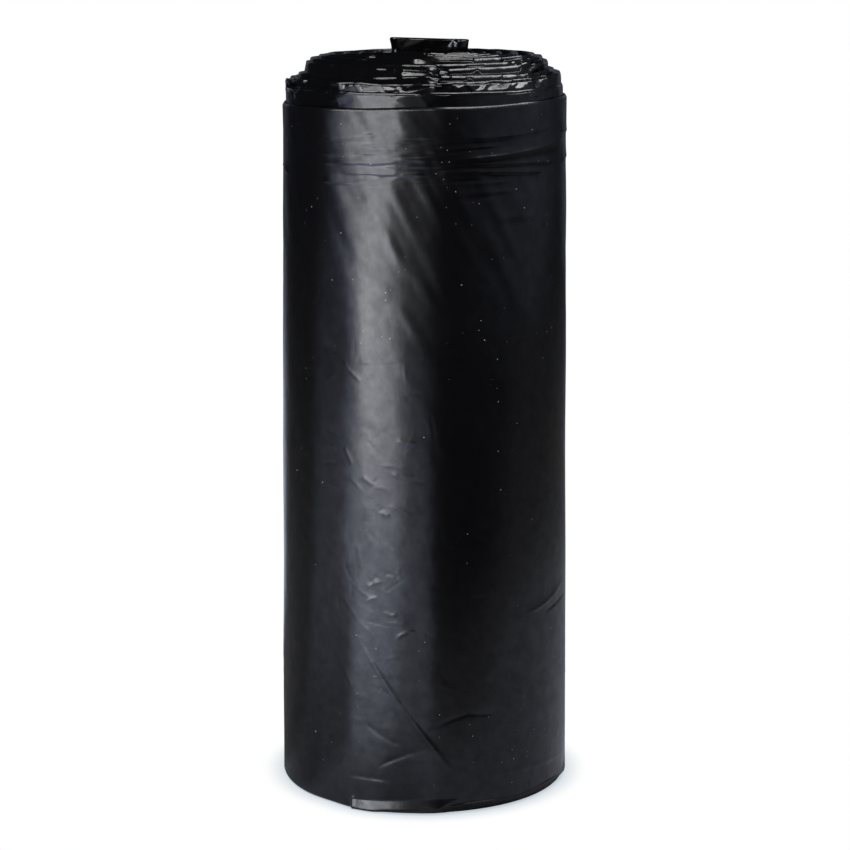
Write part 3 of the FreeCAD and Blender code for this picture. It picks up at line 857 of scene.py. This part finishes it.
def makeCore():
    turn = np.linspace(0.1, roll["turns"] - 0.2, core["steps"])
    radius = tableAt(innerTurns["across"], turn)
    top = roll["rimHeight"] + tableAt(innerTurns["rise"], turn) - core["below"]
    foot = roll["rimHeight"] - core["foot"]
    profile = [(core["radius"], foot), *zip(radius, top), (core["middle"], top[-1]), (core["middle"], foot)]
    gridPiece("woundCore", roundRows(profile), turnFilm)


makeCore()


# The innermost fold
fold = {
    "centre": 1.3,  # right of the roll's axis
    "top": 229.6,
    "length": 22.8,
    "bend": 1.9,  # radius of its two ends
    "height": 11.0,
    "wall": 0.5,
    "lean": 1.8,  # degrees that its top slopes down to the right
    "forward": 0.10,  # how far it leans to the front for its height
    "crumple": 0.42,
    "lobe": 1.2,  # how far its right end stands out
    "columns": 180,
}


def makeFold():
    half, radius = fold["length"] / 2, fold["bend"]
    flat = half - radius
    length = 4 * flat + 2 * math.pi * radius
    run = np.linspace(0.0, length, fold["columns"], endpoint=False)
    first, second = 2 * flat, 2 * flat + math.pi * radius
    third = second + 2 * flat
    bendRight = np.clip((run - first) / radius, 0.0, math.pi)
    bendLeft = np.clip((run - third) / radius, 0.0, math.pi)
    turned = -math.pi / 2 + bendRight + bendLeft
    outX, outY = np.cos(turned), np.sin(turned)
    centreX = np.clip(-flat + run, -flat, flat) - np.clip(run - second, 0.0, 2 * flat)
    x, y = centreX + radius * outX, radius * outY
    top = fold["top"] - (x + half) * math.tan(math.radians(fold["lean"]))
    rows = []

    def addRow(inset, drop):
        crumpled = fold["crumple"] * facetNoise(run / 4.4 + drop / 4.0, drop / 3.6, 71)
        atEnd = np.exp(-(((x - half + 2.4) / 2.2) ** 2))
        crumpled = crumpled + atEnd * (fold["lobe"] + 0.8 * facetNoise(run / 1.7, drop / 1.5, 72))
        shift = crumpled - inset
        forward = fold["forward"] * (fold["height"] - drop)
        rows.append(rowOf(x + fold["centre"] + outX * shift, y + outY * shift - forward, top - drop))

    for drop in (fold["height"], 8.0, 6.0, 5.0, 4.2, 3.4, 2.6, 1.9, 1.2, 0.6, 0.25):
        addRow(0.0, drop)
    for inset, drop in ((0.12, 0.06), (0.25, 0.0), (0.38, 0.06)):  # over the edge
        addRow(inset, drop)
    for drop in (0.25, 1.2, 3.4, fold["height"]):
        addRow(fold["wall"], drop)
    gridPiece("innermostFold", np.array(rows), turnFilm)


makeFold()


# The underside, drawn up in the middle
underside = {
    "step": 1.4,  # column spacing along the web
    "wider": 0.055,  # the outer turns lie close to the wrap
    "drawnUp": 9.0,
    "uneven": 0.25,
    # inset and height of the rows round a turn's lower edge, from its outer to its inner side
    "section": [(0, 6), (0, 0.5), (0.2, 0.1), (0.5, 0), (1, 0), (1.3, 0.1), (1.5, 0.5), (1.5, 6)],
    # radius and height of what shows between the turns
    "hollow": [(42, 9), (42, 1.6), (36, 2.4), (20, 6), (8, 10.4), (0.4, 11), (0.4, 16)],
}


def makeFootTurns():
    _, turn = alongWeb(0.0, roll["turns"], underside["step"])
    x, y, outX, outY = windingAt(turn)
    wider = 1 + underside["wider"] * (1 - ease(turn, 0.9, 2.4))
    x, y = x * wider, y * wider
    low = underside["drawnUp"] * ease(turn, 1.5, 10.0)
    low = low + underside["uneven"] * np.abs(smoothNoise(turn * 9.0, turn, 81))
    rows = [rowOf(x - outX * inset, y - outY * inset, low + up) for inset, up in underside["section"]]
    gridPiece("footTurns", np.array(rows)[::-1], turnFilm, closeColumns=False)


makeFootTurns()
gridPiece("footCore", roundRows(underside["hollow"])[::-1], turnFilm)


# Floor, backdrop, light and camera
stage = {
    "floorReach": 1.2,
    "paperFront": 0.22,  # the white paper ends this far in front of the roll
    "contactReach": 0.008,
    "contactColour": (0.50, 0.58, 0.63),
    "keys": [(0.030, 0.18, 7.2), (0.285, 0.33, 5.4)],  # height, tall, level of the key lamp's two panels
    "keyPlace": (-0.367, -0.423),
    "keyWide": 0.176,
    "aimHeight": 0.22,  # where the strips and the high lamps look
    "topPlace": (0.36, -0.06, 0.88),
    "topAim": (0.0, 0.0, 0.2),
    "topSize": (0.25, 0.25),
    "topWatts": 0.8,
    "highLamps": [  # azimuth, elevation, distance, width, height, level
        (29, 50, 0.85, 0.20, 0.20, 10),
        (51, 48, 0.85, 0.20, 0.20, 9),
        (74, 45, 0.85, 0.23, 0.22, 7),
        (98, 38, 0.85, 0.26, 0.20, 8),
        (-37, 31, 0.62, 0.74, 0.09, 9),
    ],
    "strips": [(-70.0, 0.2), (-62.0, 1.1), (-54.0, 2.9), (-27.5, 5.4), (-19.5, 1.1), (-11.5, 0.3),
               (-3.5, 0.28), (4.5, 0.1)],  # azimuth, level
    "stripSize": (0.078, 0.56),
    "stripDistance": 0.56,
    "keyColour": (0.955, 0.975, 1.03),
    "coolColour": (0.83, 0.90, 1.14),
    "leftColour": (0.84, 0.92, 1.30),
    "keyPatch": 2.3,  # levels of the painted glow that stands in for the lit paper, and for the room round it, as the film mirrors them
    "keyShoulder": 0.36,
    "leftPatch": 0.36,
    "rightPatch": 0.225,
    "backLeftPatch": 0.66,
    "backRightPatch": 0.18,
    "paperWhite": 0.16,
    "plainGlow": 0.016,
    "backGlow": 0.16,
    "rightGlow": 0.27,
    "cameraPlace": (0.00016, -0.7294, 0.2608),
    "cameraPitch": 0.203,  # radians below level
    "focalPixels": 2401.0,
    "framePixels": 850.0,
    "sensorWide": 36.0,
}


def cameraSees(tree, shown, mirrored, output):
    # one shader for the camera, another for what the film mirrors
    rays = addNode(tree, "LightPath")
    mix = addNode(tree, "MixShader")
    tree.links.new(rays.outputs["Is Camera Ray"], mix.inputs["Fac"])
    tree.links.new(mirrored.outputs[0], mix.inputs[1])
    tree.links.new(shown.outputs[0], mix.inputs[2])
    tree.links.new(mix.outputs[0], addNode(tree, output).inputs["Surface"])


def makeFloor():
    mesh = bpy.data.meshes.new("floor")
    reach = stage["floorReach"]
    corners = [(-reach, -reach, 0), (reach, -reach, 0), (reach, reach, 0), (-reach, reach, 0)]
    mesh.from_pydata(corners, [], [(0, 1, 2, 3)])
    floor = addObject("floor", mesh)
    material = bpy.data.materials.new("floorPaper")
    material.use_nodes = True
    tree = material.node_tree
    link = tree.links.new
    tree.nodes.clear()
    place = addNode(tree, "TexCoord").outputs["Object"]
    distance = addNode(tree, "VectorMath", operation="LENGTH")
    link(place, distance.inputs[0])
    away = distance.outputs["Value"]
    parts = addNode(tree, "SeparateXYZ")
    link(place, parts.inputs[0])
    forward = mathNode(tree, "MULTIPLY", parts.outputs["Y"], -1.0)
    azimuth = mathNode(tree, "ARCTAN2", parts.outputs["X"], forward)

    def times(*values):
        product = values[0]
        for value in values[1:]:
            product = mathNode(tree, "MULTIPLY", product, value)
        return product

    def around(start, end, least, most):
        return slopeNode(tree, azimuth, math.radians(start), math.radians(end), least, most)

    def outwards(start, end, least, most):
        return slopeNode(tree, away, start, end, least, most)

    edge = stage["paperFront"]
    paper = addNode(tree, "BsdfDiffuse")
    front = slopeNode(tree, forward, edge - 0.06, edge + 0.06, stage["paperWhite"], 0.01)
    link(front, paper.inputs["Color"])
    # painted glow in the floor where lit paper round the roll would be, as the film mirrors it: below the
    # key lamp, left, right and behind
    besideKey = times(
        around(-68.0, -50.0, 0.0, stage["keyPatch"]),
        around(-26.0, -15.0, 1.0, stage["keyShoulder"]),
        around(1.0, 10.0, 1.0, 0.0),
        outwards(0.02, 0.25, 0.09, 1.0),
        outwards(0.45, 0.8, 1.0, 0.0),
    )
    left = times(
        around(-100.0, -84.0, 0.0, stage["leftPatch"]),
        around(-66.0, -50.0, 1.0, 0.0),
        outwards(0.7, 1.15, 1.0, 0.3),
        outwards(0.03, 0.3, 0.14, 1.0),
    )
    reach = mathNode(tree, "DIVIDE", away, around(25.0, 80.0, 0.125, 0.30))  # it goes further at the side
    right = times(around(-10.0, 8.0, 0.0, stage["rightPatch"]), around(92.0, 140.0, 1.0, 0.5),
                  slopeNode(tree, reach, 0.7, 1.25, 1.0, 0.0), outwards(0.0452, 0.0500, 0.05, 1.0))
    nearBack = times(outwards(0.06, 0.2, 0.05, 1.0), outwards(0.3, 1.1, 1.0, 0.22))
    backLeft = times(around(-158.0, -142.0, stage["backLeftPatch"], 0.0), nearBack)
    backLeft = times(backLeft, slopeNode(tree, parts.outputs["X"], -0.01, 0.01, 1.0, 0.0))
    backRight = times(around(150.0, 168.0, 0.0, stage["backRightPatch"]), nearBack)
    backRight = times(backRight, slopeNode(tree, parts.outputs["X"], -0.01, 0.01, 0.0, 1.0))
    glow = besideKey
    for more in (left, right, backLeft, backRight):
        glow = mathNode(tree, "ADD", glow, more)
    # painted glow: emission in the floor for every ray but the camera's, in place of lamp-lit paper
    lit = addNode(tree, "Emission", {"Color": (*stage["coolColour"], 1.0)})
    link(glow, lit.inputs["Strength"])
    mirrored = addNode(tree, "AddShader")
    link(paper.outputs[0], mirrored.inputs[0])
    link(lit.outputs[0], mirrored.inputs[1])
    # what the camera sees: white, with a soft bluish shade where the roll stands
    shown = addNode(tree, "Emission")
    contact = addNode(tree, "AmbientOcclusion", {"Distance": stage["contactReach"]}, samples=12)
    level = addNode(tree, "MapRange", {"From Min": 0.25, "From Max": 0.95})
    link(contact.outputs["AO"], level.inputs["Value"])
    shades = {"A": (*stage["contactColour"], 1.0), "B": (1.0, 1.0, 1.0, 1.0)}
    shade = addNode(tree, "Mix", shades, data_type="RGBA")
    link(level.outputs["Result"], shade.inputs["Factor"])
    link(shade.outputs["Result"], shown.inputs["Color"])
    cameraSees(tree, shown, mirrored, "OutputMaterial")
    mesh.materials.append(material)


def makeWorld():
    world = bpy.data.worlds.new("studio")
    bpy.context.scene.world = world
    world.use_nodes = True
    tree = world.node_tree
    link = tree.links.new
    tree.nodes.clear()
    parts = addNode(tree, "SeparateXYZ")
    link(addNode(tree, "TexCoord").outputs["Generated"], parts.inputs[0])

    def slope(axis, start, end, least, most):
        return slopeNode(tree, parts.outputs[axis], start, end, least, most)

    def times(first, second):
        return mathNode(tree, "MULTIPLY", first, second)

    # a paler room behind the roll, though not straight behind it, and on its right
    back = times(slope("Y", 0.8, 0.93, 0.0, stage["backGlow"]), slope("Z", 0.0, 0.10, 0.45, 1.0))
    fromMiddle = mathNode(tree, "ABSOLUTE", parts.outputs["X"], 0.0)
    back = times(back, slopeNode(tree, fromMiddle, 0.06, 0.30, 0.1, 1.0))
    side = times(slope("X", 0.35, 0.95, 0.0, stage["rightGlow"]), slope("Y", 0.0, 0.7, 1.0, 0.2))
    sides = mathNode(tree, "ADD", mathNode(tree, "ADD", side, stage["plainGlow"]), back)
    studio = addNode(tree, "Background", {"Color": (*stage["coolColour"], 1.0)})
    link(sides, studio.inputs["Strength"])
    white = addNode(tree, "Background", {"Color": (1.0, 1.0, 1.0, 1.0), "Strength": 1.0})
    cameraSees(tree, white, studio, "OutputWorld")


def makeLamp(name, place, size, watts, aim, colour=(1.0, 1.0, 1.0)):
    light = bpy.data.lights.new(name, "AREA")
    light.shape = "RECTANGLE"
    light.size, light.size_y = size
    light.energy = watts
    light.color = colour
    lamp = addObject(name, light)
    lamp.location = place
    towards = np.array(aim) - np.array(place)
    tilted = math.pi / 2 + math.atan2(towards[2], math.hypot(towards[0], towards[1]))
    turned = math.atan2(towards[1], towards[0]) - math.pi / 2
    lamp.rotation_euler = (tilted, 0.0, turned)
    lamp.visible_camera = False


def makeLamps():
    def wattsOf(level, wide, tall):
        return level * math.pi * wide * tall

    def onRing(azimuth, distance, height):
        turned = math.radians(azimuth)
        return distance * math.sin(turned), -distance * math.cos(turned), height

    wide = stage["keyWide"]
    for number, (height, tall, level) in enumerate(stage["keys"]):
        place, aim = (*stage["keyPlace"], height), (0.0, 0.0, height)
        watts = wattsOf(level, wide, tall)
        makeLamp("keyLamp%d" % number, place, (wide, tall), watts, aim, stage["keyColour"])
    aimHeight = stage["aimHeight"]
    aim = (0.0, 0.0, aimHeight)
    for number, (azimuth, level) in enumerate(stage["strips"]):
        place = onRing(azimuth, stage["stripDistance"], aimHeight)
        colour = stage["leftColour"] if azimuth < -60 else stage["keyColour"]
        watts = wattsOf(level, *stage["stripSize"])
        makeLamp("strip%d" % number, place, stage["stripSize"], watts, aim, colour)
    makeLamp("topLamp", stage["topPlace"], stage["topSize"], stage["topWatts"], stage["topAim"])
    for number, (azimuth, elevation, distance, wide, tall, level) in enumerate(stage["highLamps"]):
        raised = math.radians(elevation)
        height = aimHeight + distance * math.sin(raised)
        place = onRing(azimuth, distance * math.cos(raised), height)
        makeLamp("highLamp%d" % number, place, (wide, tall), wattsOf(level, wide, tall), aim)


def makeCamera():
    data = bpy.data.cameras.new("camera")
    data.sensor_width = stage["sensorWide"]
    data.lens = stage["focalPixels"] / stage["framePixels"] * data.sensor_width
    camera = addObject("camera", data)
    camera.location = stage["cameraPlace"]
    camera.rotation_euler = (math.pi / 2 - stage["cameraPitch"], 0.0, 0.0)
    bpy.context.scene.camera = camera


makeFloor()
makeWorld()
makeLamps()
makeCamera()
bpy.context.scene.view_settings.view_transform = "Standard"
print("stage ready")
